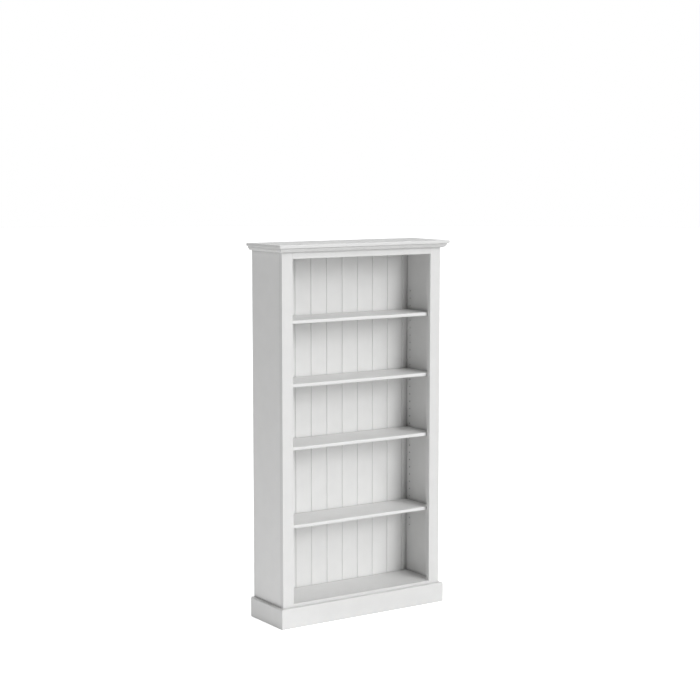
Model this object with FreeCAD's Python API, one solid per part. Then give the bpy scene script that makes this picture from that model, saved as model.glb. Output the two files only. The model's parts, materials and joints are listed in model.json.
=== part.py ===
import FreeCAD, Part
import os

# Open bookcase in miniature, at one twelfth of full size.
# A box of thin panels carries a face frame, a moulded cornice under an overhanging top board, a plinth
# round the front and both sides, a back of tongued and grooved boards and four loose shelves on pegs.
# Millimetres. +Z is up and the open front faces -Y. The origin lies on the ground, under the middle of
# the overall box. Shelves are numbered from the top.

# Carcass
CARCASS_WIDTH = 76.2
CARCASS_DEPTH = 23.0
TOTAL_HEIGHT = 152.0
SIDE_THICKNESS = 1.5
HOUSING_DEPTH = 0.5
SUB_TOP_THICKNESS = 1.5
FLOOR_TOP = 9.4
FLOOR_THICKNESS = 1.4
REAR_RAIL_THICKNESS = 1.4

# Face frame
FRAME_THICKNESS = 1.9
STILE_WIDTH = 4.9
TOP_RAIL_BOTTOM = 146.45
ARRIS_RADIUS = 0.12
SEAM_CHAMFER = 0.12

# Top board
CAP_THICKNESS = 1.3
CAP_OVERHANG_FRONT = 3.3
CAP_OVERHANG_SIDE = 2.6
CAP_EDGE_RADIUS = 0.28

# Cornice moulding: a flat band over a quarter round that tucks in to the carcass
CROWN_BOTTOM = 148.95
CROWN_BAND_HEIGHT = 0.75
CROWN_PROJECTION_FRONT = 2.3
CROWN_PROJECTION_SIDE = 1.8
CROWN_FILLET_STEP = 0.12
OVOLO_REACH = 0.86

# Plinth
PLINTH_HEIGHT = 8.2
PLINTH_PROJECTION = 1.5
PLINTH_ROUND = 0.65
PLINTH_CORNER_RADIUS = 0.3

# Back boards
BOARD_PITCH = 7.6
WHOLE_BOARDS = 9
BOARD_THICKNESS = 1.4
BOARD_FRONT_DEPTH = 21.4
BOARD_BOTTOM = 0.5
BOARD_GAP = 0.03
BOARD_CHAMFER = 0.27
TONGUE_LENGTH = 0.5
TONGUE_THICKNESS = 0.35
GROOVE_CLEARANCE = 0.03
REBATE_WIDTH = 0.75
REBATE_ARRIS = 0.15

# Shelves and their pegs
SHELF_THICKNESS = 1.35
SHELF_EDGE_RADIUS = 0.32
SHELF_SIDE_GAP = 0.15
SHELF_FRONT_GAP = 0.5
SHELF_BACK_GAP = 0.15
LOWEST_SHELF_TOP = 40.5
SHELF_HOLE_STEPS = (26, 18, 10, 0)
PEG_RADIUS = 0.28
PEG_REACH = 1.15
PEG_END_CHAMFER = 0.08
PEG_SHELF_GAP = 0.03

# Peg holes, in two columns on each side panel
HOLE_PITCH = 3.14
HOLE_RADIUS = 0.3
HOLE_DEPTH = 1.0
SPARE_HOLES = 3
HOLE_DEPTHS_FROM_FRONT = (5.0, 19.0)

# Derived positions
HALF_WIDTH = CARCASS_WIDTH / 2
INNER_X = HALF_WIDTH - SIDE_THICKNESS
CARCASS_TOP = TOTAL_HEIGHT - CAP_THICKNESS
FRONT_Y = -(CARCASS_DEPTH - CAP_OVERHANG_FRONT) / 2
BACK_Y = FRONT_Y + CARCASS_DEPTH
FRAME_BACK_Y = FRONT_Y + FRAME_THICKNESS
BOARD_FRONT_Y = FRONT_Y + BOARD_FRONT_DEPTH
FLOOR_BOTTOM = FLOOR_TOP - FLOOR_THICKNESS
REBATE_X = INNER_X + REBATE_WIDTH
LOWEST_PEG_Z = LOWEST_SHELF_TOP - SHELF_THICKNESS - PEG_SHELF_GAP - PEG_RADIUS
LEFT, RIGHT = -1, 1
TINY = 1e-6
# Length of a Bezier handle, as a fraction of the radius, that draws a quarter circle
QUARTER_HANDLE = 0.5523

Vec = FreeCAD.Vector


def block(x_ends, y_ends, z_ends):
    """A rectangular solid between two limits on each axis, given in either order."""
    low = Vec(min(x_ends), min(y_ends), min(z_ends))
    high = Vec(max(x_ends), max(y_ends), max(z_ends))
    size = high - low
    return Part.makeBox(size.x, size.y, size.z, low)


def edges_on(solid, line):
    """Edges whose ends all lie where the line says, such as {"x": 3.0, "z": 1.0} for an edge along Y."""
    found = []
    for edge in solid.Edges:
        points = [vertex.Point for vertex in edge.Vertexes]
        if all(abs(getattr(p, axis) - value) < TINY for p in points for axis, value in line.items()):
            found.append(edge)
    return found


def soften(solid, radius, lines):
    """Round over the edges on each of the lines."""
    edges = [edge for line in lines for edge in edges_on(solid, line)]
    return solid.makeFillet(radius, edges)


def bevel(solid, size, lines):
    """Cut a flat bevel on the edges on each of the lines."""
    edges = [edge for line in lines for edge in edges_on(solid, line)]
    return solid.makeChamfer(size, edges)


def moulding_face(steps, place):
    """A flat face bounded by a closed chain of straight lines and curves.

    Each step is a list of (reach, height) points that starts where the last one ended: two points
    make a line and four make a curve with two handles. place turns a (reach, height) pair into a
    point in space.
    """
    edges = []
    for step in steps:
        points = [place(reach, height) for reach, height in step]
        if len(points) == 2:
            edges.append(Part.makeLine(points[0], points[1]))
        else:
            curve = Part.BezierCurve()
            curve.setPoles(points)
            edges.append(curve.toShape())
    return Part.Face(Part.Wire(edges))


def crown_steps():
    """Cornice section, with the reach as a fraction of its projection from the carcass."""
    top = CARCASS_TOP
    band = CARCASS_TOP - CROWN_BAND_HEIGHT
    bottom = CROWN_BOTTOM
    drop = band - bottom
    inner = CROWN_FILLET_STEP
    outer = OVOLO_REACH
    hold_low = (inner + (outer - inner) * QUARTER_HANDLE, bottom)
    hold_high = (outer, band - drop * QUARTER_HANDLE)
    return [
        [(0, bottom), (inner, bottom)],
        [(inner, bottom), hold_low, hold_high, (outer, band)],
        [(outer, band), (1, band)],
        [(1, band), (1, top)],
        [(1, top), (0, top)],
        [(0, top), (0, bottom)],
    ]


def plinth_steps():
    """Plinth section: a flat board with its top front edge rounded over."""
    top = PLINTH_HEIGHT
    round_height = PLINTH_ROUND
    round_reach = PLINTH_ROUND / PLINTH_PROJECTION
    shoulder = top - round_height
    hold_low = (1, shoulder + round_height * QUARTER_HANDLE)
    hold_high = (1 - round_reach * (1 - QUARTER_HANDLE), top)
    return [
        [(0, 0), (1, 0)],
        [(1, 0), (1, shoulder)],
        [(1, shoulder), hold_low, hold_high, (1 - round_reach, top)],
        [(1 - round_reach, top), (0, top)],
        [(0, top), (0, 0)],
    ]


def mitre_block(corners, height):
    """An upright prism on a plan outline, used to cut a moulding to its mitres."""
    outline = Part.makePolygon([Vec(x, y, 0) for x, y in corners + corners[:1]])
    return Part.Face(outline).extrude(Vec(0, 0, height))


def front_moulding(steps, reach_front, reach_side):
    """A length of moulding across the front, mitred at both ends."""
    outer_x = HALF_WIDTH + reach_side
    outer_y = FRONT_Y - reach_front
    face = moulding_face(steps, lambda reach, z: Vec(-outer_x, FRONT_Y - reach * reach_front, z))
    strip = face.extrude(Vec(2 * outer_x, 0, 0))
    corners = [(-HALF_WIDTH, FRONT_Y), (HALF_WIDTH, FRONT_Y), (outer_x, outer_y), (-outer_x, outer_y)]
    return strip.common(mitre_block(corners, TOTAL_HEIGHT))


def side_moulding(steps, reach_front, reach_side, side):
    """A length of moulding along one side, mitred at the front and square at the back."""
    outer_x = HALF_WIDTH + reach_side
    outer_y = FRONT_Y - reach_front
    face = moulding_face(steps, lambda reach, z: Vec(side * (HALF_WIDTH + reach * reach_side), outer_y, z))
    strip = face.extrude(Vec(0, BACK_Y - outer_y, 0))
    corners = [
        (side * HALF_WIDTH, FRONT_Y),
        (side * outer_x, outer_y),
        (side * outer_x, BACK_Y),
        (side * HALF_WIDTH, BACK_Y),
    ]
    return strip.common(mitre_block(corners, TOTAL_HEIGHT))


def plinth_envelope():
    """The whole footprint of the plinth, with its two front corners rounded."""
    outer_x = HALF_WIDTH + PLINTH_PROJECTION
    outer_y = FRONT_Y - PLINTH_PROJECTION
    footprint = block((-outer_x, outer_x), (outer_y, BACK_Y), (0, PLINTH_HEIGHT))
    corners = [{"x": side * outer_x, "y": outer_y} for side in (LEFT, RIGHT)]
    return soften(footprint, PLINTH_CORNER_RADIUS, corners)


def cap_board():
    """Top board, flush at the back, with rounded front and side edges."""
    outer_x = HALF_WIDTH + CAP_OVERHANG_SIDE
    outer_y = FRONT_Y - CAP_OVERHANG_FRONT
    board = block((-outer_x, outer_x), (outer_y, BACK_Y), (CARCASS_TOP, TOTAL_HEIGHT))
    lines = []
    for side in (LEFT, RIGHT):
        lines.append({"x": side * outer_x, "y": outer_y})
        for z in (CARCASS_TOP, TOTAL_HEIGHT):
            lines.append({"x": side * outer_x, "z": z})
    for z in (CARCASS_TOP, TOTAL_HEIGHT):
        lines.append({"y": outer_y, "z": z})
    return soften(board, CAP_EDGE_RADIUS, lines)


def crown_front():
    """Front length of the cornice moulding."""
    return front_moulding(crown_steps(), CROWN_PROJECTION_FRONT, CROWN_PROJECTION_SIDE)


def crown_side(side):
    """Side length of the cornice moulding."""
    return side_moulding(crown_steps(), CROWN_PROJECTION_FRONT, CROWN_PROJECTION_SIDE, side)


def plinth_front():
    """Front plinth board, mitred at both ends."""
    board = front_moulding(plinth_steps(), PLINTH_PROJECTION, PLINTH_PROJECTION)
    return board.common(plinth_envelope())


def plinth_side(side):
    """Side plinth board."""
    board = side_moulding(plinth_steps(), PLINTH_PROJECTION, PLINTH_PROJECTION, side)
    return board.common(plinth_envelope())


def stile(side):
    """Upright of the face frame, from the ground to the top board."""
    outer_x = side * HALF_WIDTH
    inner_x = side * (HALF_WIDTH - STILE_WIDTH)
    post = block((inner_x, outer_x), (FRONT_Y, FRAME_BACK_Y), (0, CARCASS_TOP))
    post = soften(post, ARRIS_RADIUS, [{"x": outer_x, "y": FRONT_Y}, {"x": inner_x, "y": FRONT_Y}])
    return bevel(post, SEAM_CHAMFER, [{"x": outer_x, "y": FRAME_BACK_Y}])


def top_rail():
    """Top member of the face frame, between the stiles and behind the cornice."""
    reach = HALF_WIDTH - STILE_WIDTH
    rail = block((-reach, reach), (FRONT_Y, FRAME_BACK_Y), (TOP_RAIL_BOTTOM, CARCASS_TOP))
    return soften(rail, ARRIS_RADIUS, [{"y": FRONT_Y, "z": TOP_RAIL_BOTTOM}])


def bottom_rail():
    """Low member of the face frame, standing behind the plinth and level with the floor board."""
    reach = HALF_WIDTH - STILE_WIDTH
    rail = block((-reach, reach), (FRONT_Y, FRAME_BACK_Y), (0, FLOOR_TOP))
    return soften(rail, ARRIS_RADIUS, [{"y": FRONT_Y, "z": FLOOR_TOP}])


def peg_hole_heights():
    """Heights of the holes in one column, with spare holes past the lowest and highest shelf."""
    highest_step = max(SHELF_HOLE_STEPS)
    return [LOWEST_PEG_Z + step * HOLE_PITCH for step in range(-SPARE_HOLES, highest_step + SPARE_HOLES + 1)]


def peg_holes(side):
    """All the blind holes in one side panel, as the solids that drilling takes away."""
    outward = Vec(side, 0, 0)
    drilled = []
    for depth_from_front in HOLE_DEPTHS_FROM_FRONT:
        for z in peg_hole_heights():
            mouth = Vec(side * INNER_X, FRONT_Y + depth_from_front, z)
            drilled.append(Part.makeCylinder(HOLE_RADIUS, HOLE_DEPTH, mouth, outward))
    return Part.makeCompound(drilled)


def side_panel(side):
    """Side panel, rebated for the back boards and housed for the floor and the board under the top."""
    outer_x = side * HALF_WIDTH
    inner_x = side * INNER_X
    panel = block((inner_x, outer_x), (FRAME_BACK_Y, BACK_Y), (0, CARCASS_TOP))
    panel = bevel(panel, SEAM_CHAMFER, [{"x": outer_x, "y": FRAME_BACK_Y}])
    panel = soften(panel, ARRIS_RADIUS, [{"x": outer_x, "y": BACK_Y}])
    rebate = block((inner_x, side * REBATE_X), (BOARD_FRONT_Y, BACK_Y), (0, CARCASS_TOP))
    housed_x = side * (INNER_X + HOUSING_DEPTH)
    housing_y = (FRAME_BACK_Y, BOARD_FRONT_Y)
    floor_housing = block((inner_x, housed_x), housing_y, (FLOOR_BOTTOM, FLOOR_TOP))
    top_housing = block((inner_x, housed_x), housing_y, (CARCASS_TOP - SUB_TOP_THICKNESS, CARCASS_TOP))
    panel = bevel(panel.cut(rebate), REBATE_ARRIS, [{"x": inner_x, "y": BOARD_FRONT_Y}])
    panel = panel.cut(floor_housing)
    panel = panel.cut(top_housing)
    return panel.cut(peg_holes(side))


def sub_top():
    """Board under the top board that ties the side panels together."""
    reach = INNER_X + HOUSING_DEPTH
    return block((-reach, reach), (FRAME_BACK_Y, BOARD_FRONT_Y), (CARCASS_TOP - SUB_TOP_THICKNESS, CARCASS_TOP))


def floor_board():
    """Bottom board of the lowest bay, housed in both side panels."""
    reach = INNER_X + HOUSING_DEPTH
    return block((-reach, reach), (FRAME_BACK_Y, BOARD_FRONT_Y), (FLOOR_BOTTOM, FLOOR_TOP))


def base_rail_rear():
    """Rail on edge under the back of the floor board, to which the back boards' lower ends are glued."""
    rail_y = (BOARD_FRONT_Y - REAR_RAIL_THICKNESS, BOARD_FRONT_Y)
    return block((-INNER_X, INNER_X), rail_y, (0, FLOOR_BOTTOM))


def board_edges():
    """The X positions where the back boards begin and end, from left to right."""
    joints = WHOLE_BOARDS + 1
    first = -BOARD_PITCH * WHOLE_BOARDS / 2
    return [-REBATE_X] + [first + BOARD_PITCH * count for count in range(joints)] + [REBATE_X]


def back_board(number):
    """One back board, with a tongue on its left, a groove on its right and V edges on its face.

    The end boards are plain where they lie in the side panels' rebates.
    """
    ends = board_edges()
    has_left_joint = number > 1
    has_right_joint = number < len(ends) - 1
    left_x = ends[number - 1] + (BOARD_GAP / 2 if has_left_joint else 0)
    right_x = ends[number] - (BOARD_GAP / 2 if has_right_joint else 0)
    z_ends = (BOARD_BOTTOM, CARCASS_TOP)
    middle_y = BOARD_FRONT_Y + BOARD_THICKNESS / 2
    board = block((left_x, right_x), (BOARD_FRONT_Y, BOARD_FRONT_Y + BOARD_THICKNESS), z_ends)
    if has_left_joint:
        board = bevel(board, BOARD_CHAMFER, [{"x": left_x, "y": BOARD_FRONT_Y}])
        tongue_y = (middle_y - TONGUE_THICKNESS / 2, middle_y + TONGUE_THICKNESS / 2)
        board = board.fuse(block((left_x - TONGUE_LENGTH, left_x), tongue_y, z_ends)).removeSplitter()
    if has_right_joint:
        board = bevel(board, BOARD_CHAMFER, [{"x": right_x, "y": BOARD_FRONT_Y}])
        half_groove = TONGUE_THICKNESS / 2 + GROOVE_CLEARANCE
        groove_x = (right_x - TONGUE_LENGTH - GROOVE_CLEARANCE, right_x)
        board = board.cut(block(groove_x, (middle_y - half_groove, middle_y + half_groove), z_ends))
    return board


def shelf_top_z(number):
    """Height of a shelf's upper face, counting shelves from the top."""
    return LOWEST_SHELF_TOP + SHELF_HOLE_STEPS[number - 1] * HOLE_PITCH


def shelf(number):
    """Loose shelf behind the face frame, with both long front edges rounded."""
    reach = INNER_X - SHELF_SIDE_GAP
    front_y = FRAME_BACK_Y + SHELF_FRONT_GAP
    back_y = BOARD_FRONT_Y - SHELF_BACK_GAP
    top_z = shelf_top_z(number)
    bottom_z = top_z - SHELF_THICKNESS
    board = block((-reach, reach), (front_y, back_y), (bottom_z, top_z))
    return soften(board, SHELF_EDGE_RADIUS, [{"y": front_y, "z": top_z}, {"y": front_y, "z": bottom_z}])


def peg(side, y, z):
    """One plain pin, seated on the bottom of its hole, with its free end bevelled."""
    seat_x = side * (INNER_X + HOLE_DEPTH)
    free_x = side * (INNER_X - PEG_REACH)
    pin = Part.makeCylinder(PEG_RADIUS, HOLE_DEPTH + PEG_REACH, Vec(seat_x, y, z), Vec(-side, 0, 0))
    return bevel(pin, PEG_END_CHAMFER, [{"x": free_x}])


def shelf_pegs(number):
    """The four pegs under one shelf."""
    z = LOWEST_PEG_Z + SHELF_HOLE_STEPS[number - 1] * HOLE_PITCH
    pegs = []
    for side in (LEFT, RIGHT):
        for depth_from_front in HOLE_DEPTHS_FROM_FRONT:
            pegs.append(peg(side, FRONT_Y + depth_from_front, z))
    return Part.makeCompound(pegs)


def all_parts():
    """Every sub-part with its node name."""
    parts = {
        "cap_board": cap_board(),
        "crown_front": crown_front(),
        "crown_left": crown_side(LEFT),
        "crown_right": crown_side(RIGHT),
        "sub_top": sub_top(),
        "side_panel_left": side_panel(LEFT),
        "side_panel_right": side_panel(RIGHT),
        "stile_left": stile(LEFT),
        "stile_right": stile(RIGHT),
        "top_rail": top_rail(),
        "bottom_rail": bottom_rail(),
        "floor_board": floor_board(),
        "base_rail_rear": base_rail_rear(),
        "plinth_front": plinth_front(),
        "plinth_left": plinth_side(LEFT),
        "plinth_right": plinth_side(RIGHT),
    }
    for number in range(1, WHOLE_BOARDS + 3):
        parts["back_board_%02d" % number] = back_board(number)
    for number in range(1, len(SHELF_HOLE_STEPS) + 1):
        parts["shelf_%d" % number] = shelf(number)
        parts["shelf_pegs_%d" % number] = shelf_pegs(number)
    return parts


os.makedirs("parts", exist_ok=True)
for name, shape in all_parts().items():
    shape.exportStep("parts/%s.step" % name)
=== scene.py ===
import json
import math

import bpy
import numpy as np
from bpy.props import FloatProperty, FloatVectorProperty, PointerProperty
from mathutils import Matrix, Vector


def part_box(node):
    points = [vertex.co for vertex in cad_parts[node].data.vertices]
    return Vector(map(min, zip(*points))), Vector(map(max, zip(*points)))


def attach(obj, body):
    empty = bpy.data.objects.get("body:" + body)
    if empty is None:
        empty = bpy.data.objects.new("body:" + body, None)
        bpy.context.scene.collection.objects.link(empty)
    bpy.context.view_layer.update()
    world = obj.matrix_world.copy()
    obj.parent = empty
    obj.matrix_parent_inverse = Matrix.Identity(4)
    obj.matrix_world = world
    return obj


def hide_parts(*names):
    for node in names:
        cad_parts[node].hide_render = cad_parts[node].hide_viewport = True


# A white painted miniature bookcase. Each board is drawn again over its CAD node with sanded arrises and
# brushed paint, except the drilled side panels, which are only painted. Metres throughout, in the CAD
# frame: +Z up, the open front towards -Y.

bl_info = {
    "name": "Miniature Bookcase",
    "version": (1, 0, 0),
    "blender": (4, 5, 0),
    "location": "View3D > Sidebar > Bookcase",
    "description": "Draws a painted miniature bookcase around its packed CAD parts",
    "category": "Object",
}

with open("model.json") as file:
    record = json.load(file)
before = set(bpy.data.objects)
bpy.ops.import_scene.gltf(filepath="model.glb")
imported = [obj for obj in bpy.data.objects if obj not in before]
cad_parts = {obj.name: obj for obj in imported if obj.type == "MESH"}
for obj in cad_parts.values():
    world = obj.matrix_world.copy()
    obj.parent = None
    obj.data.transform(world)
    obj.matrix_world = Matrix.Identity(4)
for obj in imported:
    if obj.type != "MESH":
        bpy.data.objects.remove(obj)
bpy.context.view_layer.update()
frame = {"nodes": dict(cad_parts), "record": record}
MM = 0.001
LEFT, RIGHT = -1, 1
CAD_NAMES = sorted(frame["nodes"])
BOARD_NAMES = [name for name in CAD_NAMES if name.startswith("back_board_")]
SHELF_NAMES = [name for name in CAD_NAMES if name.startswith("shelf_") and "pegs" not in name]
PEG_NAMES = [name for name in CAD_NAMES if name.startswith("shelf_pegs_")]
BODY_OF = {
    node: body for body, nodes in frame["record"]["behaviour"]["bodies"].items() for node in nodes
}

# Cornice: the quarter round's inner and outer ends, as shares of the moulding's reach, and its points
OVOLO_INNER, OVOLO_OUTER = 0.12, 0.86
OVOLO_POINTS = 13
# A moulding's corner is rounded by at most this share of the shorter line beside it
LARGEST_CORNER_SHARE = 0.3
# Plinth: points over its rounded top, and the extra rings near a corner as shares of the corner's radius
PLINTH_ROUND_POINTS = 9
PLINTH_CORNER_RINGS = np.linspace(0.15, 1.0, 7)
# Pegs: sides, points over the domed end, and the dome's length and flat tip as shares of the radius
PEG_SIDES = 24
PEG_DOME_POINTS = 7
PEG_DOME, PEG_TIP = 0.35, 0.25

# Brush marks: the detail of each pattern, how much the streaks count against the pooling, the range of
# their sum, and the range of the streaks alone
STREAK_DETAIL, POOLING_DETAIL = 4.0, 3.0
POOLING_SCALE = 160.0
STREAK_SHARE = 0.45
MARKS_LOW, MARKS_HIGH = 0.4, 1.05
STREAKS_LOW, STREAKS_HIGH = 0.3, 0.7
PAINT_IOR = 1.5
# Samples for the painted shade that darkens the paint in corners
CORNER_SHADE_SAMPLES = 6
# Wood and wire: marks in a metre across and along the grain, then the finish of each
WOOD_GRAIN = (2500, 60)
WOOD_DETAIL = 5.0
WOOD_DARK_AT, WOOD_LIGHT_AT = 0.3, 0.7
WOOD_ROUGHNESS = 0.7
WIRE_LINES = (20000, 400)
WIRE_DARKEST = 0.75
WIRE_SMOOTH, WIRE_ROUGH = 0.2, 0.42

# Studio: the floor disc's reach, sides and rings, its faint clouds, and the camera's fixed settings
FLOOR_REACH = 4.0
FLOOR_SIDES = 64
FLOOR_RINGS = 5
FLOOR_DARKEST = 0.98
FLOOR_ROUGHNESS = 0.8
CLOUD_SCALE = 3.0
SENSOR_WIDTH = 36.0
NEAREST_SEEN = 0.01


# ---------------------------------------------------------------- sections and surfaces

def soft_section(corners, radii, steps=5):
    """A closed section with rounded corners, as points, outward normals and an arris mask.

    corners run anticlockwise. At each corner the two edge normals n1 and n2 are swung from one to the
    other, and the point is centre + r n, where the centre is the corner less r (n1 + n2) / (1 + n1.n2).
    At an inside corner both signs change, so the same formula draws a hollow. The mask is one on the
    middle of an outside corner and zero where a corner meets a flat.
    """
    corners = np.asarray(corners, float)
    radii = np.broadcast_to(np.asarray(radii, float), len(corners))[:, None, None]
    edge_in = corners - np.roll(corners, 1, 0)
    edge_out = np.roll(edge_in, -1, 0)
    normal_in = np.stack([edge_in[:, 1], -edge_in[:, 0]], 1)
    normal_in /= np.linalg.norm(normal_in, axis=1, keepdims=True)
    normal_out = np.roll(normal_in, -1, 0)
    turn = edge_in[:, 0] * edge_out[:, 1] - edge_in[:, 1] * edge_out[:, 0]
    side = np.sign(turn)[:, None, None]
    opening = 1 + (normal_in * normal_out).sum(1)[:, None, None]
    t = np.linspace(0, 1, steps + 1)[None, :, None]
    angle = np.arccos(np.clip(opening - 1, -1, 1))
    swing = np.sin((1 - t) * angle) * normal_in[:, None] + np.sin(t * angle) * normal_out[:, None]
    swing /= np.linalg.norm(swing, axis=2, keepdims=True)
    centre = corners[:, None] - side * radii * (normal_in + normal_out)[:, None] / opening
    points = centre + side * radii * swing
    mask = np.broadcast_to(np.sin(np.pi * t) * (side > 0), points.shape[:2] + (1,))
    return points.reshape(-1, 2), swing.reshape(-1, 2), mask.reshape(-1)


def rectangle(u_ends, v_ends):
    """The four corners of a rectangle, anticlockwise."""
    (u0, u1), (v0, v1) = u_ends, v_ends
    return [(u0, v0), (u1, v0), (u1, v1), (u0, v1)]


def put_along(axis, u, v, w):
    """Section coordinates u, v and path coordinate w as points in space, for a path along an axis."""
    order = {"X": (w, u, v), "Y": (u, w, v), "Z": (u, v, w)}[axis]
    return np.stack(order, -1)


def carried(section, axis, start, end, arris, stops=(), steps=4):
    """A section carried along an axis, with softened ends: two parameters, round the section and along.

    start and end are path coordinates, one for all points or one for each, so an end may be mitred. Over
    the last arris of its length the section shrinks as a quarter circle: at angle a from the end face
    it is set in by arris (1 - sin a) and stands arris (1 - cos a) inside the end. stops adds rings at
    set distances from both ends.
    Gives points and normals as grids, rings by section points, and the arris mask.
    """
    flat, normal, mask = section
    start = np.broadcast_to(np.asarray(start, float), len(flat))
    end = np.broadcast_to(np.asarray(end, float), len(flat))
    a = np.linspace(0, math.pi / 2, steps + 1)
    stops = np.sort(np.asarray(stops, float))
    inside = np.concatenate([arris * (1 - np.cos(a)), stops])
    inset = np.concatenate([arris * (1 - np.sin(a)), np.zeros(len(stops))])
    lean = np.concatenate([np.cos(a), np.zeros(len(stops))])
    soft = np.concatenate([np.sin(2 * a), np.zeros(len(stops))])
    w = np.concatenate([start + inside[:, None], end - inside[::-1, None]])
    inset = np.concatenate([inset, inset[::-1]])[:, None, None]
    lean = np.concatenate([-lean, lean[::-1]])[:, None]
    soft = np.concatenate([soft, soft[::-1]])[:, None]
    ring = flat - inset * normal
    points = put_along(axis, ring[..., 0], ring[..., 1], w)
    upright = np.sqrt(1 - lean ** 2)
    along = np.broadcast_to(lean, w.shape)
    normals = put_along(axis, upright * normal[:, 0], upright * normal[:, 1], along)
    return points, normals, np.maximum(mask, soft)


def round_plan_corners(surface, corner, radius):
    """Turns the square contours round an upright corner into round ones.

    q is the corner moved in by the radius on both axes, and d the way from q to a point beyond it. The
    point moves to q plus d's direction times its larger component, and the level part of its normal turns
    to d's direction.
    """
    points, normals, mask = surface
    reach = np.asarray(corner, float)
    plan = points[..., :2]
    way = np.sign(reach)
    inner = reach - way * radius
    d = (plan - inner) * way
    in_corner = (d > 0).all(-1, keepdims=True)
    length = np.linalg.norm(d, axis=-1, keepdims=True)
    unit = d / np.where(length > 0, length, 1)
    moved = inner + way * unit * d.max(-1, keepdims=True)
    level = np.linalg.norm(normals[..., :2], axis=-1, keepdims=True)
    outer_face = (normals[..., :2] * way).max(-1, keepdims=True) > 0
    points[..., :2] = np.where(in_corner, moved, plan)
    normals[..., :2] = np.where(in_corner & outer_face, way * unit * level, normals[..., :2])
    return points, normals, mask


def ring_faces(rings, around, first=0):
    """Quads between neighbouring rings of a closed section, and one flat face over each end."""
    at = first + np.arange(rings * around).reshape(rings, around)
    across = np.roll(at, -1, 1)
    quads = np.stack([at[:-1], across[:-1], across[1:], at[1:]], -1).reshape(-1, 4)
    return quads.tolist() + [at[0][::-1].tolist(), at[-1].tolist()]


def turned_outward(points, faces):
    """The faces, reversed if the closed surface they make has a negative volume."""
    fans = [(face[0], face[i], face[i + 1]) for face in faces for i in range(1, len(face) - 1)]
    a, b, c = points[np.array(fans)].transpose(1, 0, 2)
    volume = np.einsum("ij,ij->", a, np.cross(b, c))
    return faces if volume > 0 else [face[::-1] for face in faces]


def set_piece(node, surfaces, materials, name=None):
    """Makes one piece from carried surfaces and puts it in the place of its CAD node."""
    points, normals, mask, faces = [], [], [], []
    for grid, grid_normals, grid_mask in surfaces:
        shell = ring_faces(*grid.shape[:2])
        shell = turned_outward(grid.reshape(-1, 3), shell)
        first = sum(len(p) for p in points)
        faces += [[corner + first for corner in face] for face in shell]
        points.append(grid.reshape(-1, 3))
        normals.append(grid_normals.reshape(-1, 3))
        mask.append(np.broadcast_to(grid_mask, grid.shape[:2]).reshape(-1))
    mesh = bpy.data.meshes.new(name or node + "_painted")
    mesh.from_pydata(np.concatenate(points).tolist(), [], faces)
    mesh.polygons.foreach_set("use_smooth", np.ones(len(faces), bool))
    arris = mesh.attributes.new("arris", "FLOAT", "POINT")
    arris.data.foreach_set("value", np.concatenate(mask).astype(np.float32))
    mesh.normals_split_custom_set_from_vertices(np.concatenate(normals).tolist())
    if mesh.validate():
        raise RuntimeError(node + ": the surface has faces that Blender had to repair")
    piece = bpy.data.objects.new(mesh.name, mesh)
    bpy.context.scene.collection.objects.link(piece)
    for material in materials:
        mesh.materials.append(material)
    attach(piece, BODY_OF[node])
    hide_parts(node)
    return piece


def extent(node):
    """The CAD node's limits on X, Y and Z."""
    low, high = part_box(node)
    return (low.x, high.x), (low.y, high.y), (low.z, high.z)


def plain_board(node, axis, arris, material, radii=None):
    """A straight board over a CAD node's box, with its grain along an axis."""
    x, y, z = extent(node)
    u, v, w = {"X": (y, z, x), "Y": (x, z, y), "Z": (x, y, z)}[axis]
    section = soft_section(rectangle(u, v), arris if radii is None else radii)
    return set_piece(node, [carried(section, axis, w[0], w[1], arris)], [material])


# ---------------------------------------------------------------- paint and metal

def shader_group(name, inputs, outputs):
    """An empty node group with named inputs (name, kind, default) and outputs (name, kind)."""
    group = bpy.data.node_groups.new(name, "ShaderNodeTree")
    for label, kind, default in inputs:
        socket = group.interface.new_socket(label, in_out="INPUT", socket_type="NodeSocket" + kind)
        socket.default_value = default
    for label, kind in outputs:
        group.interface.new_socket(label, in_out="OUTPUT", socket_type="NodeSocket" + kind)
    return group, group.nodes.new("NodeGroupInput"), group.nodes.new("NodeGroupOutput")


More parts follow.
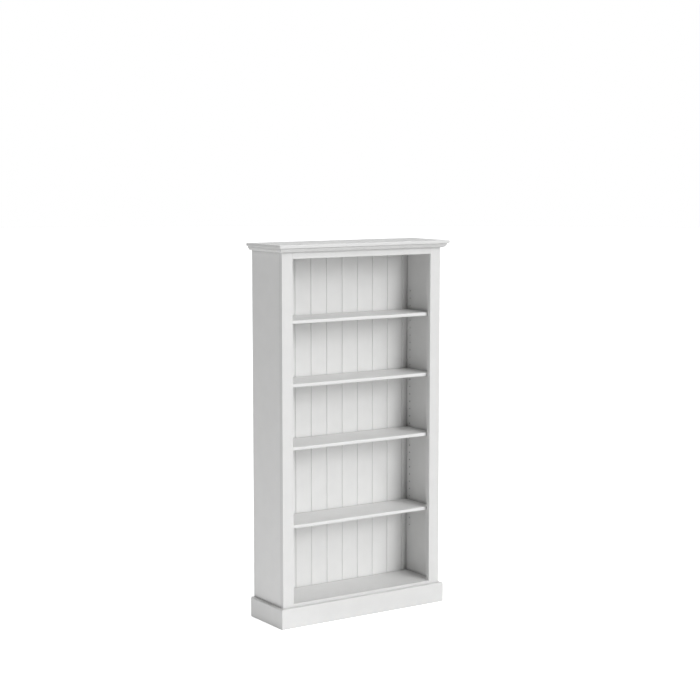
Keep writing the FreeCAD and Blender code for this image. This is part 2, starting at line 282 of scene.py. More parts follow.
def brush_marks_group():
    """Brushed paint: long streaks along the stroke, faint pooling, and the sheen and relief of both.

    The coordinates are stretched along the stroke before the streaks are drawn. Colour is the paint
    with its value lifted and lowered a little by the pooling and the streaks, mixed towards a lighter
    colour on the sanded edges as a painted highlight.
    """
    group, given, put = shader_group(
        "Brush marks",
        [("Coordinates", "Vector", (0, 0, 0)), ("Stroke scale", "Vector", (3000, 3000, 120)),
         ("Paint", "Color", (0.8, 0.8, 0.8, 1)), ("Tone change", "Float", 0.03),
         ("Sheen low", "Float", 0.34), ("Sheen high", "Float", 0.5), ("Arris", "Float", 0.0),
         ("Arris paint", "Color", (0.86, 0.86, 0.86, 1))],
        [("Color", "Color"), ("Roughness", "Float"), ("Height", "Float")])
    nodes, link = group.nodes, group.links.new
    stretch = nodes.new("ShaderNodeVectorMath")
    stretch.operation = "MULTIPLY"
    streaks = nodes.new("ShaderNodeTexNoise")
    streaks.inputs["Scale"].default_value = 1.0
    streaks.inputs["Detail"].default_value = STREAK_DETAIL
    pooling = nodes.new("ShaderNodeTexNoise")
    pooling.inputs["Scale"].default_value = POOLING_SCALE
    pooling.inputs["Detail"].default_value = POOLING_DETAIL
    both = nodes.new("ShaderNodeMath")
    both.operation = "MULTIPLY_ADD"
    both.inputs[1].default_value = STREAK_SHARE
    centred = nodes.new("ShaderNodeMapRange")
    centred.inputs["From Min"].default_value = MARKS_LOW
    centred.inputs["From Max"].default_value = MARKS_HIGH
    centred.inputs["To Min"].default_value = -0.5
    centred.inputs["To Max"].default_value = 0.5
    amount = nodes.new("ShaderNodeMath")
    amount.operation = "MULTIPLY_ADD"
    amount.inputs[2].default_value = 1.0
    tinted = nodes.new("ShaderNodeHueSaturation")
    edge_highlight = nodes.new("ShaderNodeMix")
    edge_highlight.data_type = "RGBA"
    sheen = nodes.new("ShaderNodeMapRange")
    sheen.inputs["From Min"].default_value = STREAKS_LOW
    sheen.inputs["From Max"].default_value = STREAKS_HIGH
    link(given.outputs["Coordinates"], stretch.inputs[0])
    link(given.outputs["Stroke scale"], stretch.inputs[1])
    link(stretch.outputs[0], streaks.inputs["Vector"])
    link(given.outputs["Coordinates"], pooling.inputs["Vector"])
    link(streaks.outputs["Fac"], both.inputs[0])
    link(pooling.outputs["Fac"], both.inputs[2])
    link(both.outputs[0], centred.inputs["Value"])
    link(centred.outputs["Result"], amount.inputs[0])
    link(given.outputs["Tone change"], amount.inputs[1])
    link(given.outputs["Paint"], tinted.inputs["Color"])
    link(amount.outputs[0], tinted.inputs["Value"])
    link(given.outputs["Arris"], edge_highlight.inputs["Factor"])
    link(tinted.outputs["Color"], edge_highlight.inputs["A"])
    link(given.outputs["Arris paint"], edge_highlight.inputs["B"])
    link(streaks.outputs["Fac"], sheen.inputs["Value"])
    link(given.outputs["Sheen low"], sheen.inputs["To Min"])
    link(given.outputs["Sheen high"], sheen.inputs["To Max"])
    link(edge_highlight.outputs["Result"], put.inputs["Color"])
    link(sheen.outputs["Result"], put.inputs["Roughness"])
    link(both.outputs[0], put.inputs["Height"])
    return group


def corner_shade_group():
    """Painted shade in the corners: the colour darkened where other surfaces stand close by.

    The open share of the sky is one on a flat, a half in a square corner and less in a groove. The colour
    is multiplied by 1 - 2 depth (1 - share), so a square corner loses depth.
    """
    group, given, put = shader_group(
        "Crevices",
        [("Color", "Color", (0.8, 0.8, 0.8, 1)), ("Reach", "Float", 0.001), ("Depth", "Float", 0.3)],
        [("Color", "Color")])
    nodes, link = group.nodes, group.links.new
    open_share = nodes.new("ShaderNodeAmbientOcclusion")
    open_share.samples = CORNER_SHADE_SAMPLES
    closed = nodes.new("ShaderNodeMath")
    closed.operation = "SUBTRACT"
    closed.inputs[0].default_value = 1.0
    twice = nodes.new("ShaderNodeMath")
    twice.operation = "MULTIPLY"
    twice.inputs[1].default_value = -2.0
    kept = nodes.new("ShaderNodeMath")
    kept.operation = "MULTIPLY_ADD"
    kept.inputs[2].default_value = 1.0
    kept.use_clamp = True
    darker = nodes.new("ShaderNodeVectorMath")
    darker.operation = "SCALE"
    link(given.outputs["Reach"], open_share.inputs["Distance"])
    link(open_share.outputs["AO"], closed.inputs[1])
    link(closed.outputs[0], twice.inputs[0])
    link(twice.outputs[0], kept.inputs[0])
    link(given.outputs["Depth"], kept.inputs[1])
    link(given.outputs["Color"], darker.inputs[0])
    link(kept.outputs[0], darker.inputs["Scale"])
    link(darker.outputs[0], put.inputs["Color"])
    return group


def new_material(name):
    """An empty node material with a Principled shader joined to its output."""
    material = bpy.data.materials.new(name)
    material.use_nodes = True
    nodes = material.node_tree.nodes
    nodes.clear()
    shader = nodes.new("ShaderNodeBsdfPrincipled")
    output = nodes.new("ShaderNodeOutputMaterial")
    material.node_tree.links.new(shader.outputs["BSDF"], output.inputs["Surface"])
    return material, shader


def stroke_scale(axis, across, along):
    """How much the paint's coordinates are multiplied on each axis, for strokes along one of them."""
    return tuple(along if name == axis else across for name in "XYZ")


# Each painted finish: the axis its brush marks follow, and the settings of its colour and of the depth of its
# painted corner shade.
PAINTED_FINISHES = {
    "Inside paint upright": ("Z", "paint_colour", "corner_shade_depth"),
    "Inside paint across": ("X", "paint_colour", "corner_shade_depth"),
    "Board paint upright": ("Z", "paint_colour", "shallow_shade_depth"),
    # The frame and moulding finishes take a darker copy of the same white paint: painted shade against the
    # stronger light on the front
    "Frame paint upright": ("Z", "frame_shaded_colour", "shallow_shade_depth"),
    "Frame paint across": ("X", "frame_shaded_colour", "shallow_shade_depth"),
    "Frame paint front to back": ("Y", "frame_shaded_colour", "shallow_shade_depth"),
    "Moulding paint across": ("X", "frame_shaded_colour", "moulding_shade_depth"),
    "Moulding paint front to back": ("Y", "frame_shaded_colour", "moulding_shade_depth"),
}


def painted(name, paint):
    """The named satin white paint, brushed along its axis, with painted shade darkening its corners."""
    axis, colour, depth = PAINTED_FINISHES[name]
    material, shader = new_material(name)
    nodes, link = material.node_tree.nodes, material.node_tree.links.new
    place = nodes.new("ShaderNodeTexCoord")
    arris = nodes.new("ShaderNodeAttribute")
    arris.attribute_name = "arris"
    marks = nodes.new("ShaderNodeGroup")
    marks.node_tree = bpy.data.node_groups.get("Brush marks") or brush_marks_group()
    across, along = 1 / paint.stroke_width, 1 / paint.stroke_length
    marks.inputs["Stroke scale"].default_value = stroke_scale(axis, across, along)
    marks.inputs["Paint"].default_value = (*getattr(paint, colour), 1)
    marks.inputs["Arris paint"].default_value = (*paint.arris_highlight_colour, 1)
    marks.inputs["Tone change"].default_value = paint.tone_change
    marks.inputs["Sheen low"].default_value = paint.roughness - paint.roughness_spread
    marks.inputs["Sheen high"].default_value = paint.roughness + paint.roughness_spread
    # Painted shade: the paint's colour is darkened in corners and joints, where shade falls
    corner_shade = nodes.new("ShaderNodeGroup")
    corner_shade.node_tree = bpy.data.node_groups.get("Crevices") or corner_shade_group()
    corner_shade.inputs["Reach"].default_value = paint.corner_shade_reach
    corner_shade.inputs["Depth"].default_value = getattr(paint, depth)
    bump = nodes.new("ShaderNodeBump")
    bump.inputs["Distance"].default_value = paint.mark_height
    shader.inputs["IOR"].default_value = PAINT_IOR
    link(place.outputs["Object"], marks.inputs["Coordinates"])
    link(arris.outputs["Fac"], marks.inputs["Arris"])
    link(marks.outputs["Color"], corner_shade.inputs["Color"])
    link(corner_shade.outputs["Color"], shader.inputs["Base Color"])
    link(marks.outputs["Roughness"], shader.inputs["Roughness"])
    link(marks.outputs["Height"], bump.inputs["Height"])
    link(bump.outputs["Normal"], shader.inputs["Normal"])
    return material


def bare_wood(name, paint):
    """Unpainted pale wood, grain along X."""
    material, shader = new_material(name)
    nodes, link = material.node_tree.nodes, material.node_tree.links.new
    place = nodes.new("ShaderNodeTexCoord")
    stretch = nodes.new("ShaderNodeMapping")
    stretch.inputs["Scale"].default_value = stroke_scale("X", *WOOD_GRAIN)
    grain = nodes.new("ShaderNodeTexNoise")
    grain.inputs["Scale"].default_value = 1.0
    grain.inputs["Detail"].default_value = WOOD_DETAIL
    ramp = nodes.new("ShaderNodeValToRGB")
    ramp.color_ramp.elements[0].position = WOOD_DARK_AT
    ramp.color_ramp.elements[0].color = (*paint.wood_dark, 1)
    ramp.color_ramp.elements[1].position = WOOD_LIGHT_AT
    ramp.color_ramp.elements[1].color = (*paint.wood_light, 1)
    shader.inputs["Roughness"].default_value = WOOD_ROUGHNESS
    link(place.outputs["Object"], stretch.inputs["Vector"])
    link(stretch.outputs["Vector"], grain.inputs["Vector"])
    link(grain.outputs["Fac"], ramp.inputs["Fac"])
    link(ramp.outputs["Color"], shader.inputs["Base Color"])
    return material


def drawn_wire(name, paint):
    """Plain steel wire, with fine lines drawn along X."""
    material, shader = new_material(name)
    nodes, link = material.node_tree.nodes, material.node_tree.links.new
    place = nodes.new("ShaderNodeTexCoord")
    stretch = nodes.new("ShaderNodeMapping")
    stretch.inputs["Scale"].default_value = stroke_scale("X", *WIRE_LINES)
    lines = nodes.new("ShaderNodeTexNoise")
    lines.inputs["Scale"].default_value = 1.0
    tone = nodes.new("ShaderNodeValToRGB")
    tone.color_ramp.elements[0].color = (*[WIRE_DARKEST * c for c in paint.wire_colour], 1)
    tone.color_ramp.elements[1].color = (*paint.wire_colour, 1)
    rough = nodes.new("ShaderNodeMapRange")
    rough.inputs["To Min"].default_value = WIRE_SMOOTH
    rough.inputs["To Max"].default_value = WIRE_ROUGH
    shader.inputs["Metallic"].default_value = 1.0
    link(place.outputs["Object"], stretch.inputs["Vector"])
    link(stretch.outputs["Vector"], lines.inputs["Vector"])
    link(lines.outputs["Fac"], tone.inputs["Fac"])
    link(lines.outputs["Fac"], rough.inputs["Value"])
    link(tone.outputs["Color"], shader.inputs["Base Color"])
    link(rough.outputs["Result"], shader.inputs["Roughness"])
    return material


def finish(name):
    """The named finish, made the first time it is asked for."""
    found = bpy.data.materials.get(name)
    if found:
        return found
    paint = bpy.context.scene.bookcase_paint
    if name in PAINTED_FINISHES:
        return painted(name, paint)
    return {"Bare wood": bare_wood, "Drawn wire": drawn_wire}[name](name, paint)


# ---------------------------------------------------------------- settings

def size_setting(label, text, default):
    """A length setting in metres."""
    return FloatProperty(name=label, description=text, default=default, min=0.0, precision=5, unit="LENGTH")


def colour_setting(label, text, default):
    """A linear colour setting."""
    return FloatVectorProperty(name=label, description=text, default=default, size=3, min=0.0, max=1.0,
                               subtype="COLOR")


def number_setting(label, text, default, high=1.0):
    """A plain number setting from zero to a highest value."""
    return FloatProperty(name=label, description=text, default=default, min=0.0, max=high, precision=4)


class BookcaseSizes(bpy.types.PropertyGroup):
    """Sizes of the softened edges and joints."""

    arris: size_setting("Arris", "Radius of the sanded edges of the boards", 0.12 * MM)
    hairline: size_setting("Hairline", "Radius of the edges that meet another board", 0.05 * MM)
    cap_edge: size_setting("Top edge", "Radius of the front and side edges of the top board", 0.28 * MM)
    shelf_nose: size_setting("Shelf nose", "Radius of a shelf's two long front edges", 0.32 * MM)
    seam: size_setting("Side seam", "Radius at the seam between stile and side panel", 0.12 * MM)
    crown_band: size_setting("Moulding band", "Height of the moulding's flat band", 0.75 * MM)
    plinth_round: size_setting("Plinth round", "Radius along the top of the plinth", 0.65 * MM)
    plinth_corner: size_setting("Plinth corner", "Radius of the plinth's upright corners", 0.3 * MM)
    v_edge: size_setting("Board bevel", "Width of the bevel on each back board's front edges", 0.27 * MM)
    tongue: size_setting("Tongue", "Length of a back board's tongue", 0.5 * MM)
    tongue_thickness: size_setting("Tongue thickness", "Thickness of a back board's tongue", 0.35 * MM)
    groove_play: size_setting("Groove play", "Clearance round a tongue in its groove", 0.03 * MM)


class BookcasePaint(bpy.types.PropertyGroup):
    """Colours and texture of the paint, wood and wire."""

    paint_colour: colour_setting("Paint", "White of the paint on the inside boards and the side panels",
                                 (0.76, 0.76, 0.755))
    # The same white as the inside paint, made darker as painted shade so the well-lit front matches the
    # inside
    frame_shaded_colour: colour_setting("Shaded frame paint", "White of the paint on the frame, top, cornice and plinth",
                                 (0.715, 0.715, 0.71))
    # A lighter white mixed in along the sanded edges: a painted highlight
    arris_highlight_colour: colour_setting("Arris paint", "Paint where it is thin on an edge", (0.8, 0.8, 0.795))
    # Painted shade in corners: how far it reaches and how dark it gets on each kind of finish
    corner_shade_reach: size_setting("Corner shade reach", "How far from a corner its darker tone reaches", 1.4 * MM)
    corner_shade_depth: number_setting("Corner shade depth", "Share of the colour lost in a square corner", 0.3)
    shallow_shade_depth: number_setting("Shallow shade depth", "The same share on the frame, the plinth and the back boards",
                                0.08)
    moulding_shade_depth: number_setting("Moulding shade depth", "The same share on the cornice moulding", 0.12)
    tone_change: number_setting("Tone change", "How far the paint's value wanders", 0.05)
    roughness: number_setting("Roughness", "Middle roughness of the paint", 0.42)
    roughness_spread: number_setting("Roughness spread", "Change of roughness over the brush marks", 0.07)
    stroke_width: size_setting("Stroke width", "Distance between brush marks", 0.3 * MM)
    stroke_length: size_setting("Stroke length", "Length of a brush mark", 7.0 * MM)
    mark_height: size_setting("Mark height", "Relief of the brush marks", 0.012 * MM)
    wood_dark: colour_setting("Wood, dark", "Late wood", (0.42, 0.28, 0.16))
    wood_light: colour_setting("Wood, light", "Early wood", (0.58, 0.42, 0.26))
    wire_colour: colour_setting("Wire", "Steel of the pegs", (0.62, 0.62, 0.62))


class BookcaseStudio(bpy.types.PropertyGroup):
    """Camera and lights."""

    azimuth: FloatProperty(name="Camera turn", description="Angle of the view from straight ahead",
                           default=math.radians(33.6), subtype="ANGLE")
    dip: FloatProperty(name="Camera dip", description="How far the camera looks down",
                       default=math.radians(6.53), subtype="ANGLE")
    lens: FloatProperty(name="Lens", description="Focal length in millimetres on a 36 mm sensor",
                        default=84.44, min=10.0)
    eye: FloatVectorProperty(name="Camera place", description="Where the camera stands",
                             default=(-0.3669, -0.5523, 0.1838), size=3, unit="LENGTH")
    floor_colour: colour_setting("Floor", "Pale studio floor", (0.9, 0.9, 0.9))
    surround: number_setting("Surround", "Brightness of the studio's walls", 0.03, 10.0)
    floor_lift: number_setting("Floor lift", "Extra white on the floor, seen by the camera alone", 0.66, 10.0)
    glow: number_setting("Floor pool", "Brightness of the pool of light on the floor", 0.82, 10.0)
    glow_radius: size_setting("Floor pool radius", "Radius of the pool of light", 0.07)
    glow_place: FloatVectorProperty(name="Floor pool place", description="Middle of the pool of light",
                                    default=(-0.12, -0.02, 0.0), size=3, unit="LENGTH")
    low_strength: number_setting("Low light", "Strength of the low light in front", 0.81, 100.0)
    key_strength: number_setting("Key light", "Strength of the main light in front", 0.70, 100.0)
    side_strength: number_setting("Side light", "Strength of the light at the front right", 0.43, 100.0)
    high_strength: number_setting("High light", "Strength of the high light at the front right", 0.64, 100.0)
    top_strength: number_setting("Top light", "Strength of the steep light at the front right", 0.33, 100.0)
    left_strength: number_setting("Left light", "Strength of the low light at the left", 0.73, 100.0)
    back_strength: number_setting("Back light", "Strength of the light behind", 1.2, 100.0)


# ---------------------------------------------------------------- pieces

class BOOKCASE_OT_top_board(bpy.types.Operator):
    """Draw the overhanging top board"""

    bl_idname = "bookcase.top_board"
    bl_label = "Top board"

    def execute(self, context):
        sizes = context.scene.bookcase_sizes
        plain_board("cap_board", "X", sizes.cap_edge, finish("Frame paint across"))
        return {"FINISHED"}


class BOOKCASE_OT_cornice(bpy.types.Operator):
    """Draw the mitred moulding under the top board"""

    bl_idname = "bookcase.cornice"
    bl_label = "Cornice"

    def execute(self, context):
        sizes = context.scene.bookcase_sizes
        (_, x1), (y0, y1), (z0, z1) = extent("crown_front")
        stile_x = extent("stile_right")[0][1]
        front = moulding_section(z0, z1, sizes)
        surface = mitred_front(front, stile_x, x1, y0, y1, sizes.hairline)
        set_piece("crown_front", [surface], [finish("Moulding paint across")])
        for side, node in ((LEFT, "crown_left"), (RIGHT, "crown_right")):
            back = extent(node)[1][1]
            surface = mitred_side(front, side, stile_x, x1, y0, y1, back, sizes.hairline)
            set_piece(node, [surface], [finish("Moulding paint front to back")])
        return {"FINISHED"}


def moulding_section(bottom, top, sizes):
    """The cornice section, reach 0 to 1 against height: a band over a quarter round.

    The quarter round is a chain of twelve short straight lines on an ellipse, with the corners between
    them too blunt to show.
    """
    band = top - sizes.crown_band
    turn = np.linspace(0, math.pi / 2, OVOLO_POINTS)
    reach = OVOLO_INNER + (OVOLO_OUTER - OVOLO_INNER) * np.sin(turn)
    height = band - (band - bottom) * np.cos(turn)
    return np.concatenate([
        np.stack([reach, height], 1),
        [(1, band), (1, top), (0, top), (0, bottom)],
    ])


def plinth_section(top, depth, sizes):
    """The plinth section, reach 0 to 1 against height: a board with its top front edge rounded over."""
    turn = np.linspace(0, math.pi / 2, PLINTH_ROUND_POINTS)
    share = sizes.plinth_round / depth
    reach = 1 - share + share * np.cos(turn)
    height = top - sizes.plinth_round + sizes.plinth_round * np.sin(turn)
    return np.concatenate([[(0, 0), (1, 0)], np.stack([reach, height], 1), [(0, top)]])


def moulding_loop(profile, scale, hairline):
    """A (reach, height) section made full size, with hairline corners."""
    corners = np.asarray(profile, float) * (scale, 1)
    lengths = np.linalg.norm(np.roll(corners, -1, 0) - corners, axis=1)
    shortest = np.minimum(lengths, np.roll(lengths, 1))
    return soft_section(corners, np.minimum(hairline, LARGEST_CORNER_SHARE * shortest), steps=3)


def mitred_front(profile, carcass_x, outer_x, outer_y, carcass_y, hairline, stops=()):
    """A section carried along the front, its ends cut on the lines from the carcass's corners outwards."""
    depth = carcass_y - outer_y
    flat, normal, mask = moulding_loop(profile, depth, hairline)
    half = carcass_x + flat[:, 0] / depth * (outer_x - carcass_x)
    points, normals, mask = carried((flat, normal, mask), "X", -half, half, hairline, stops)
    points[..., 1] = carcass_y - points[..., 1]
    normals[..., 1] *= -1
    return points, normals, mask


def mitred_side(profile, side, carcass_x, outer_x, outer_y, carcass_y, back_y, hairline, stops=()):
    """A section carried along one side, mitred at the front and square at the back."""
    width = outer_x - carcass_x
    flat, normal, mask = moulding_loop(profile, width, hairline)
    front = carcass_y - flat[:, 0] / width * (carcass_y - outer_y)
    points, normals, mask = carried((flat, normal, mask), "Y", front, back_y, hairline, stops)
    points[..., 0] = side * (carcass_x + points[..., 0])
    normals[..., 0] *= side
    return points, normals, mask


class BOOKCASE_OT_plinth(bpy.types.Operator):
    """Draw the three plinth boards"""

    bl_idname = "bookcase.plinth"
    bl_label = "Plinth"

    def execute(self, context):
        sizes = context.scene.bookcase_sizes
        stile_x = extent("stile_right")[0][1]
        outer_x = extent("plinth_right")[0][1]
        (y0, y1), (z0, z1) = extent("plinth_front")[1:]
        profile = plinth_section(z1 - z0, y1 - y0, sizes)
        stops = sizes.plinth_corner * PLINTH_CORNER_RINGS
        surface = mitred_front(profile, stile_x, outer_x, y0, y1, sizes.hairline, stops)
        for side in (LEFT, RIGHT):
            surface = round_plan_corners(surface, (side * outer_x, y0), sizes.plinth_corner)
        set_piece("plinth_front", [surface], [finish("Frame paint across")])
        for side, node in ((LEFT, "plinth_left"), (RIGHT, "plinth_right")):
            back = extent(node)[1][1]
            surface = mitred_side(profile, side, stile_x, outer_x, y0, y1, back, sizes.hairline, stops)
            surface = round_plan_corners(surface, (side * outer_x, y0), sizes.plinth_corner)
            set_piece(node, [surface], [finish("Frame paint front to back")])
        return {"FINISHED"}


class BOOKCASE_OT_face_frame(bpy.types.Operator):
    """Draw the stiles and rails of the face frame"""

    bl_idname = "bookcase.face_frame"
    bl_label = "Face frame"

    def execute(self, context):
        sizes = context.scene.bookcase_sizes
        for side, node in ((LEFT, "stile_left"), (RIGHT, "stile_right")):
            inner_back = sizes.hairline
            outer_back = sizes.seam
            front = sizes.arris
            radii = [front, front, outer_back, inner_back]
            if side == LEFT:
                radii = [front, front, inner_back, outer_back]
            x, y, z = extent(node)
            section = soft_section(rectangle(x, y), radii)
            surface = carried(section, "Z", z[0], z[1], sizes.hairline)
            set_piece(node, [surface], [finish("Frame paint upright")])
        for node in ("top_rail", "bottom_rail"):
            plain_board(node, "X", sizes.hairline, finish("Frame paint across"),
                        radii=[sizes.arris, sizes.hairline, sizes.hairline, sizes.arris])
        return {"FINISHED"}


class BOOKCASE_OT_side_panels(bpy.types.Operator):
    """Paint the drilled side panels"""

    bl_idname = "bookcase.side_panels"
    bl_label = "Side panels"

    def execute(self, context):
        for node in ("side_panel_left", "side_panel_right"):
            panel = frame["nodes"][node]
            panel.data.materials.clear()
            panel.data.materials.append(finish("Inside paint upright"))
        return {"FINISHED"}


class BOOKCASE_OT_inner_boards(bpy.types.Operator):
    """Draw the floor board, the board under the top and the rear base rail"""

    bl_idname = "bookcase.inner_boards"
    bl_label = "Inner boards"

    def execute(self, context):
        sizes = context.scene.bookcase_sizes
        plain_board("floor_board", "X", sizes.hairline, finish("Inside paint across"))
        plain_board("sub_top", "X", sizes.hairline, finish("Inside paint across"))
        plain_board("base_rail_rear", "X", sizes.hairline, finish("Bare wood"))
        return {"FINISHED"}


def board_section(x, y, sizes, has_tongue, has_groove):
    """Plan of a back board: bevelled front edges, a tongue on the left and a groove on the right."""
    x0 = x[0] + (sizes.tongue if has_tongue else 0)
    x1 = x[1]
    middle = (y[0] + y[1]) / 2
    tongue = sizes.tongue_thickness / 2
    slot = tongue + sizes.groove_play
    deep = sizes.tongue + sizes.groove_play
    right = [(x1, y[0]), (x1, y[1])]
    if has_groove:
        right = [
            (x1 - sizes.v_edge, y[0]), (x1, y[0] + sizes.v_edge),
            (x1, middle - slot), (x1 - deep, middle - slot), (x1 - deep, middle + slot), (x1, middle + slot),
            (x1, y[1]),
        ]
    left = [(x0, y[1]), (x0, y[0])]
    if has_tongue:
        left = [
            (x0, y[1]),
            (x0, middle + tongue), (x[0], middle + tongue), (x[0], middle - tongue), (x0, middle - tongue),
            (x0, y[0] + sizes.v_edge), (x0 + sizes.v_edge, y[0]),
        ]
    return right + left


class BOOKCASE_OT_back_boards(bpy.types.Operator):
    """Draw the tongued and grooved back boards"""

    bl_idname = "bookcase.back_boards"
    bl_label = "Back boards"

    def execute(self, context):
        sizes = context.scene.bookcase_sizes
        for node in BOARD_NAMES:
            x, y, z = extent(node)
            corners = board_section(x, y, sizes, node != BOARD_NAMES[0], node != BOARD_NAMES[-1])
            section = soft_section(corners, sizes.hairline, steps=3)
            surface = carried(section, "Z", z[0], z[1], sizes.hairline)
            set_piece(node, [surface], [finish("Board paint upright")])
        return {"FINISHED"}


class BOOKCASE_OT_shelves(bpy.types.Operator):
    """Draw the loose shelves"""

    bl_idname = "bookcase.shelves"
    bl_label = "Shelves"

    def execute(self, context):
        sizes = context.scene.bookcase_sizes
        for node in SHELF_NAMES:
            plain_board(node, "X", sizes.arris, finish("Inside paint across"),
                        radii=[sizes.shelf_nose, sizes.arris, sizes.arris, sizes.shelf_nose])
        return {"FINISHED"}


def peg_surface(side, seat, y, z, length, radius):
    """A pin along X, turned from a profile: flat at its seat and domed at its free end.

    Round the axis the radius is that of the profile, which falls as a quarter circle over the dome.
    """
    turn = np.linspace(0, 2 * math.pi, PEG_SIDES, endpoint=False)
    a = np.linspace(0, math.pi / 2, PEG_DOME_POINTS)
    dome = PEG_DOME * radius
    tip = PEG_TIP * radius
    reach = np.concatenate([[0.0], length - dome + dome * np.sin(a)])
    wide = np.concatenate([[radius], tip + (radius - tip) * np.cos(a)])
    lean = np.concatenate([[0.0], np.sin(a)])
    spread = np.sqrt(1 - lean ** 2)
    ring_x = np.broadcast_to((seat - side * reach)[:, None], (len(reach), len(turn)))
    points = np.stack([ring_x, y + np.outer(wide, np.cos(turn)), z + np.outer(wide, np.sin(turn))], -1)
    axial = np.broadcast_to((-side * lean)[:, None], ring_x.shape)
    normals = np.stack([axial, np.outer(spread, np.cos(turn)), np.outer(spread, np.sin(turn))], -1)
    return points, normals, np.zeros(ring_x.shape)


class BOOKCASE_OT_shelf_pegs(bpy.types.Operator):
    """Draw the four pegs under each shelf"""

    bl_idname = "bookcase.shelf_pegs"
    bl_label = "Shelf pegs"

    def execute(self, context):
        inner_x = extent("side_panel_right")[0][0]
        for node in PEG_NAMES:
            mesh = frame["nodes"][node].data
            co = np.zeros(len(mesh.vertices) * 3, np.float32)
            mesh.vertices.foreach_get("co", co)
            co = co.reshape(-1, 3)
            (_, x1), (y0, y1), (z0, z1) = extent(node)
            radius = (z1 - z0) / 2
            free_x = np.abs(co[:, 0]).min()
            pins = [
                peg_surface(side, side * x1, y, (z0 + z1) / 2, x1 - free_x, radius)
                for side in (LEFT, RIGHT)
                for y in (y0 + radius, y1 - radius)
            ]
            set_piece(node, pins, [finish("Drawn wire")], name=node + "_wire")
            if free_x > inner_x:
                raise RuntimeError(node + ": the pegs don't reach out of the side panels")
        return {"FINISHED"}


# ---------------------------------------------------------------- stage

# Each light's name and the setting that holds its strength, then in degrees its turn to the right of
# straight ahead, its height and how wide it looks.
FAR_LIGHTS = (
    ("Low light", "low_strength", 1, 8, 22),
    ("Key light", "key_strength", 1, 25, 22),
    ("Side light", "side_strength", 20, 25, 22),
    ("High light", "high_strength", 20, 45, 22),
    ("Top light", "top_strength", 20, 70, 22),
    ("Left light", "left_strength", -90, 10, 22),
    ("Back light", "back_strength", 150, 40, 40),
)


def direction(turn, rise):
    """A unit vector along +Y, turned right and raised: (sin turn cos rise, cos turn cos rise, sin rise)."""
    level = math.cos(rise)
    return Vector((math.sin(turn) * level, math.cos(turn) * level, math.sin(rise)))


def looking(way):
    """The turn that points a light or a camera along a direction, the right way up."""
    return way.to_track_quat("-Z", "Y").to_matrix().to_4x4()


def far_light(name, turn, height, width, strength):
    """A broad far light, placed by its turn to the right of straight ahead and its height, in degrees.

    The light travels along the opposite of the direction it stands in.
    """
    data = bpy.data.lights.new(name, "SUN")
    data.energy = strength
    data.angle = math.radians(width)
    light = bpy.data.objects.new(name, data)
    light.matrix_world = looking(direction(-math.radians(turn), -math.radians(height)))
    bpy.context.scene.collection.objects.link(light)


def studio_surround(brightness):
    """A white surround that the camera sees as white and that lights the object more gently."""
    world = bpy.data.worlds.new("Studio surround")
    world.use_nodes = True
    nodes, link = world.node_tree.nodes, world.node_tree.links.new
    nodes.clear()
    seen = nodes.new("ShaderNodeBackground")
    seen.inputs["Strength"].default_value = 1.0
    seen.inputs["Color"].default_value = (1, 1, 1, 1)
    lighting = nodes.new("ShaderNodeBackground")
    lighting.inputs["Color"].default_value = (1, 1, 1, 1)
    lighting.inputs["Strength"].default_value = brightness
    path = nodes.new("ShaderNodeLightPath")
    mix = nodes.new("ShaderNodeMixShader")
    output = nodes.new("ShaderNodeOutputWorld")
    link(path.outputs["Is Camera Ray"], mix.inputs["Fac"])
    link(lighting.outputs[0], mix.inputs[1])
    link(seen.outputs[0], mix.inputs[2])
    link(mix.outputs[0], output.inputs["Surface"])
    bpy.context.scene.world = world


def pale_floor(studio):
    """A pale floor with a pool of light on it, lifted towards white where the camera sees it.

    The pool's strength at a distance d from its middle is glow exp(-(d / radius) ** 2).
    """
    material, shader = new_material("Pale floor")
    nodes, link = material.node_tree.nodes, material.node_tree.links.new
    place = nodes.new("ShaderNodeTexCoord")
    clouds = nodes.new("ShaderNodeTexNoise")
    clouds.inputs["Scale"].default_value = CLOUD_SCALE
    tone = nodes.new("ShaderNodeValToRGB")
    tone.color_ramp.elements[0].color = (*[FLOOR_DARKEST * c for c in studio.floor_colour], 1)
    tone.color_ramp.elements[1].color = (*studio.floor_colour, 1)
    shader.inputs["Roughness"].default_value = FLOOR_ROUGHNESS
    shader.inputs["Specular IOR Level"].default_value = 0.0
    shader.inputs["Emission Color"].default_value = (1, 1, 1, 1)
    apart = nodes.new("ShaderNodeVectorMath")
    apart.operation = "DISTANCE"
    apart.inputs[1].default_value = studio.glow_place
    steps = [("DIVIDE", studio.glow_radius), ("POWER", 2.0), ("MULTIPLY", -1.0), ("EXPONENT", None),
             ("MULTIPLY", studio.glow)]
    source = apart.outputs["Value"]
    for operation, value in steps:
        step = nodes.new("ShaderNodeMath")
        step.operation = operation
        if value is not None:
            step.inputs[1].default_value = value
        link(source, step.inputs[0])
        source = step.outputs[0]
    lift = nodes.new("ShaderNodeEmission")
    path = nodes.new("ShaderNodeLightPath")
    seen = nodes.new("ShaderNodeMath")
    seen.operation = "MULTIPLY"
    seen.inputs[1].default_value = studio.floor_lift
    both = nodes.new("ShaderNodeAddShader")
    output = next(node for node in nodes if node.type == "OUTPUT_MATERIAL")
    link(place.outputs["Object"], clouds.inputs["Vector"])
    link(place.outputs["Object"], apart.inputs[0])
    link(clouds.outputs["Fac"], tone.inputs["Fac"])
    link(tone.outputs["Color"], shader.inputs["Base Color"])
    link(source, shader.inputs["Emission Strength"])
    link(path.outputs["Is Camera Ray"], seen.inputs[0])
    link(seen.outputs[0], lift.inputs["Strength"])
    link(shader.outputs[0], both.inputs[0])
    link(lift.outputs[0], both.inputs[1])
    link(both.outputs[0], output.inputs["Surface"])
    return material


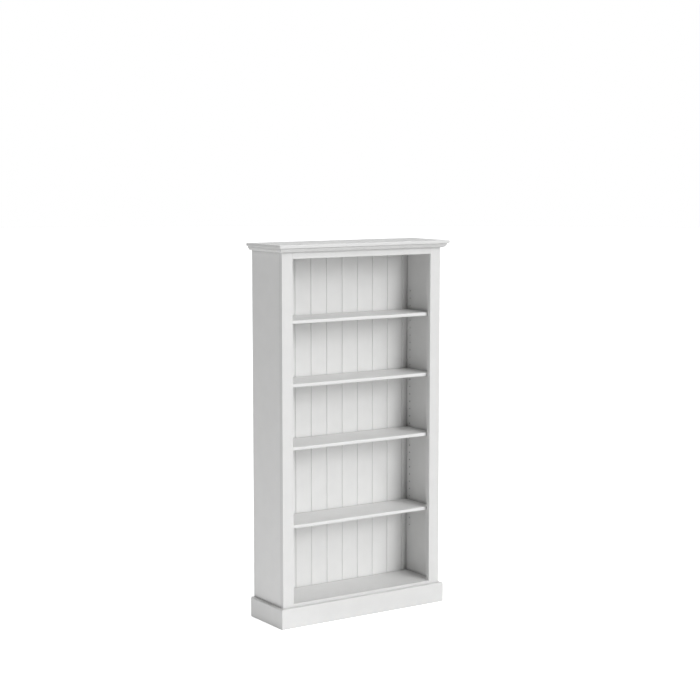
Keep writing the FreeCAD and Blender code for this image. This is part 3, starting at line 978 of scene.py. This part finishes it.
def floor_surface():
    """A level disc: the radius grows as the square of one parameter and the angle along the other."""
    turn = np.linspace(0, 2 * math.pi, FLOOR_SIDES, endpoint=False)
    radius = FLOOR_REACH * np.linspace(0, 1, FLOOR_RINGS + 1)[1:] ** 2
    x, y = np.outer(radius, np.cos(turn)), np.outer(radius, np.sin(turn))
    points = np.stack([x, y, np.zeros_like(x)], -1).reshape(-1, 3)
    at = np.arange(len(points)).reshape(x.shape)
    across = np.roll(at, -1, 1)
    quads = np.stack([at[:-1], at[1:], across[1:], across[:-1]], -1).reshape(-1, 4)
    return points, quads.tolist() + [at[0].tolist()]


def studio_camera(studio):
    """A camera at its place, turned to the right of straight ahead and dipped."""
    data = bpy.data.cameras.new("Camera")
    data.sensor_width = SENSOR_WIDTH
    data.lens = studio.lens
    data.clip_start = NEAREST_SEEN
    camera = bpy.data.objects.new("Camera", data)
    camera.matrix_world = Matrix.Translation(studio.eye) @ looking(direction(studio.azimuth, -studio.dip))
    bpy.context.scene.collection.objects.link(camera)
    return camera


class BOOKCASE_OT_stage(bpy.types.Operator):
    """Set up the floor, the lights and the camera"""

    bl_idname = "bookcase.stage"
    bl_label = "Studio"

    def execute(self, context):
        studio = context.scene.bookcase_studio
        points, faces = floor_surface()
        mesh = bpy.data.meshes.new("floor")
        mesh.from_pydata(points.tolist(), [], faces)
        mesh.materials.append(pale_floor(studio))
        floor = bpy.data.objects.new("floor", mesh)
        context.scene.collection.objects.link(floor)
        studio_surround(studio.surround)
        for name, setting, turn, height, width in FAR_LIGHTS:
            far_light(name, turn, height, width, getattr(studio, setting))
        context.scene.camera = studio_camera(studio)
        context.scene.view_settings.view_transform = "Standard"
        return {"FINISHED"}


class BOOKCASE_PT_panel(bpy.types.Panel):
    """Buttons and settings for the bookcase"""

    bl_label = "Miniature Bookcase"
    bl_idname = "BOOKCASE_PT_panel"
    bl_space_type = "VIEW_3D"
    bl_region_type = "UI"
    bl_category = "Bookcase"

    def draw(self, context):
        column = self.layout.column()
        for operator in OPERATORS:
            column.operator(operator.bl_idname)
        for settings in (context.scene.bookcase_sizes, context.scene.bookcase_paint,
                         context.scene.bookcase_studio):
            box = self.layout.box()
            for name in settings.__annotations__:
                box.prop(settings, name)


OPERATORS = (
    BOOKCASE_OT_top_board,
    BOOKCASE_OT_cornice,
    BOOKCASE_OT_face_frame,
    BOOKCASE_OT_side_panels,
    BOOKCASE_OT_inner_boards,
    BOOKCASE_OT_back_boards,
    BOOKCASE_OT_shelves,
    BOOKCASE_OT_shelf_pegs,
    BOOKCASE_OT_plinth,
    BOOKCASE_OT_stage,
)
SETTINGS = {
    "bookcase_sizes": BookcaseSizes,
    "bookcase_paint": BookcasePaint,
    "bookcase_studio": BookcaseStudio,
}


def register():
    """Add the settings, buttons and panel to Blender."""
    for group in SETTINGS.values():
        bpy.utils.register_class(group)
    for name, group in SETTINGS.items():
        setattr(bpy.types.Scene, name, PointerProperty(type=group))
    for operator in OPERATORS:
        bpy.utils.register_class(operator)
    bpy.utils.register_class(BOOKCASE_PT_panel)


def unregister():
    """Take them away again."""
    bpy.utils.unregister_class(BOOKCASE_PT_panel)
    for operator in reversed(OPERATORS):
        bpy.utils.unregister_class(operator)
    for name, group in SETTINGS.items():
        delattr(bpy.types.Scene, name)
        bpy.utils.unregister_class(group)


def main():
    register()
    for operator in OPERATORS:
        group, name = operator.bl_idname.split(".")
        getattr(getattr(bpy.ops, group), name)()


if __name__ == "__main__":
    main()
